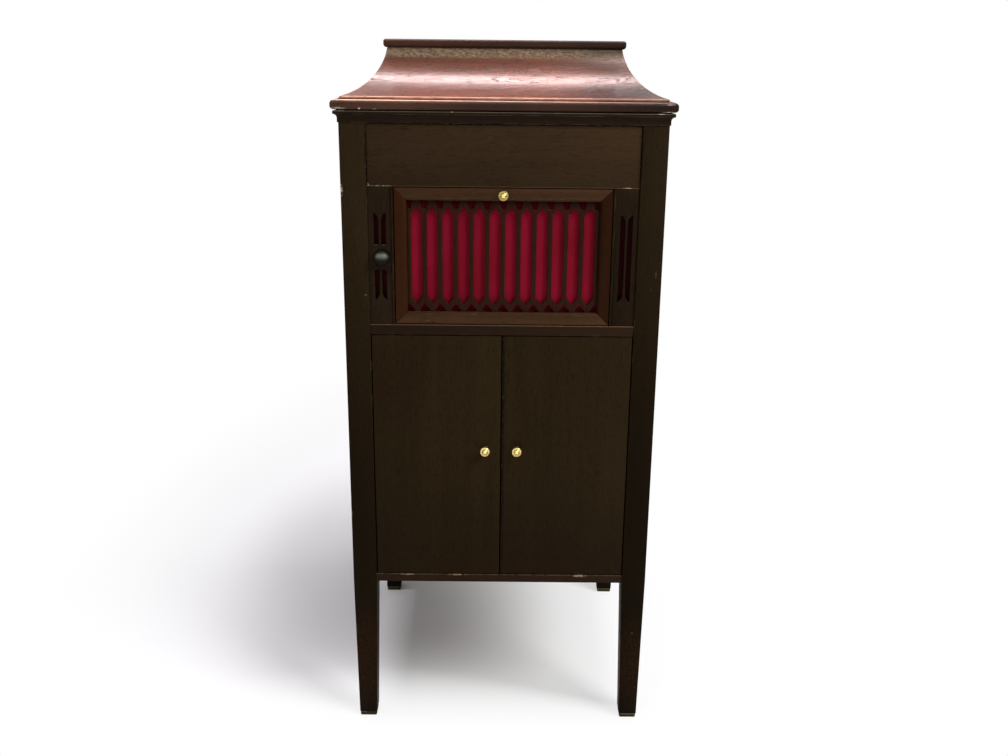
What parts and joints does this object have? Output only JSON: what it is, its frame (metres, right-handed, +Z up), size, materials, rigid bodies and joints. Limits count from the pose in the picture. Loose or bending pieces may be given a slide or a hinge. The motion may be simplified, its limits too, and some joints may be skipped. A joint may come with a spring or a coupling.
{
  "type": "gramophone cabinet",
  "caption": "Floor-standing wooden gramophone cabinet on tapered legs: coved hinged lid over turntable and tone arm, drop-front fretwork grille, and a record cupboard with two doors.",
  "frame": {"origin": "on the floor, under the middle of the whole object, knobs and hinges included", "axes": "+X to the viewer's right, +Y from the front to the back, +Z up"},
  "size_m": [0.5, 0.5052, 1.1115],
  "materials": {
    "case_wood": "dark brown stained wood, satin varnish, worn edges",
    "door_wood": "very dark brown stained wood, upright grain, satin varnish",
    "lid_wood": "red-brown stained wood, satin varnish, dusty and worn",
    "grille_wood": "mid brown stained wood, satin varnish",
    "fret_wood": "dark red-brown stained wood",
    "inner_wood": "unpolished dark wood",
    "foot_wood": "worn dark wood",
    "red_cloth": "crimson woven cloth",
    "green_felt": "green felt",
    "brass": "polished brass",
    "nickel": "nickel plate",
    "steel": "bare steel",
    "iron": "black painted iron",
    "black_plastic": "black glossy moulded knob"
  },
  "bodies": {
    "cabinet": {"front_posts": "case_wood", "rear_posts": "case_wood", "foot_pads": "foot_wood", "side_panels": "case_wood", "back_panel": "inner_wood", "back_top_rail": "case_wood", "apron": "case_wood", "rim_moulding": "case_wood", "mid_rail": "case_wood", "bottom_rail": "case_wood", "shelf_boards": "inner_wood", "record_dividers": "inner_wood", "door_pivot_pins": "brass", "door_catches": "brass", "left_fret_stile": "case_wood", "right_fret_stile": "case_wood", "cock_beads": "case_wood", "stile_cloths": "red_cloth", "grille_pivot_pins": "brass", "volume_bush": "iron", "horn_mouth_frame": "inner_wood", "horn_boards": "inner_wood", "horn_elbow": "iron", "motor_board": "case_wood", "motor_board_battens": "inner_wood", "needle_bowls": "nickel", "motor_frame": "iron", "crank_escutcheon": "brass", "tone_arm_base": "nickel", "case_hinge_leaves": "brass", "lid_hinge_pins": "brass", "stay_keeper": "brass"},
    "left_door": {"left_door": "door_wood", "left_door_knob": "brass"},
    "right_door": {"right_door": "door_wood", "right_door_knob": "brass"},
    "grille": {"grille_frame": "grille_wood", "grille_fret": "fret_wood", "grille_cloth": "red_cloth", "grille_knob": "brass"},
    "volume_control": {"volume_knob": "black_plastic", "volume_shaft": "steel", "mute_flap": "red_cloth"},
    "lid": {"lid_base_frame": "lid_wood", "lid_coves": "lid_wood", "lid_back_board": "lid_wood", "lid_top_board": "lid_wood", "lid_hinge_leaves": "brass", "lid_stay": "brass"},
    "turntable": {"turntable": "nickel", "turntable_felt": "green_felt", "turntable_spindle": "steel"},
    "governor": {"governor": "brass"},
    "spring_barrel": {"spring_barrel": "brass"},
    "spring_arbor": {"spring_arbor": "steel"},
    "winding_shaft": {"winding_shaft": "steel"},
    "tone_arm": {"tone_arm": "nickel"},
    "sound_box": {"sound_box": "nickel"},
    "brake_lever": {"brake_lever": "nickel"},
    "speed_lever": {"speed_lever": "nickel"}
  },
  "joints": [
    {"name": "lid_open", "type": "hinge", "parent": "cabinet", "child": "lid", "pos_m": [0, 0.24815, 1.01275], "axis": [-1, 0, 0], "range_deg": [0, 68]},
    {"name": "left_door_swing", "type": "hinge", "parent": "cabinet", "child": "left_door", "pos_m": [-0.191, -0.23115, 0.47575], "axis": [0, 0, -1], "range_deg": [0, 110]},
    {"name": "right_door_swing", "type": "hinge", "parent": "cabinet", "child": "right_door", "pos_m": [0.191, -0.23115, 0.47575], "axis": [0, 0, 1], "range_deg": [0, 110]},
    {"name": "grille_drop", "type": "hinge", "parent": "cabinet", "child": "grille", "pos_m": [0, -0.23115, 0.7054], "axis": [1, 0, 0], "range_deg": [0, 90]},
    {"name": "volume_turn", "type": "hinge", "parent": "cabinet", "child": "volume_control", "pos_m": [-0.18115, -0.22, 0.79795], "axis": [0, -1, 0], "range_deg": [0, 80]},
    {"name": "turntable_spin", "type": "hinge", "parent": "cabinet", "child": "turntable", "pos_m": [-0.02, -0.01265, 0.96], "axis": [0, 0, -1], "continuous": true},
    {"name": "governor_spin", "type": "hinge", "parent": "cabinet", "child": "governor", "pos_m": [-0.02, -0.03195, 0.869], "axis": [1, 0, 0], "continuous": true},
    {"name": "barrel_turn", "type": "hinge", "parent": "cabinet", "child": "spring_barrel", "pos_m": [-0.02, 0.02935, 0.898], "axis": [1, 0, 0], "continuous": true},
    {"name": "winder_turn", "type": "hinge", "parent": "cabinet", "child": "winding_shaft", "pos_m": [0.1, -0.00365, 0.898], "axis": [1, 0, 0], "continuous": true},
    {"name": "arbor_turn", "type": "hinge", "parent": "cabinet", "child": "spring_arbor", "pos_m": [-0.02, 0.02935, 0.898], "axis": [1, 0, 0], "continuous": true},
    {"name": "tone_arm_swing", "type": "hinge", "parent": "cabinet", "child": "tone_arm", "pos_m": [0.165, 0.15935, 1], "axis": [0, 0, -1], "range_deg": [0, 38]},
    {"name": "sound_box_tilt", "type": "hinge", "parent": "tone_arm", "child": "sound_box", "pos_m": [0.1445, -0.07565, 1.0165], "axis": [-1, 0, 0], "range_deg": [0, 100]},
    {"name": "brake_swing", "type": "hinge", "parent": "cabinet", "child": "brake_lever", "pos_m": [0.07378, -0.15156, 0.955], "axis": [0, 0, -1], "range_deg": [0, 20]},
    {"name": "speed_swing", "type": "hinge", "parent": "cabinet", "child": "speed_lever", "pos_m": [0.165, -0.16415, 0.955], "axis": [0, 0, 1], "range_deg": [-30, 30]}
  ],
  "couplings": [
    {"joint": "governor_spin", "follows": "turntable_spin", "ratio": 12},
    {"joint": "barrel_turn", "follows": "turntable_spin", "ratio": 0.1},
    {"joint": "arbor_turn", "follows": "winder_turn", "ratio": -0.375}
  ]
}
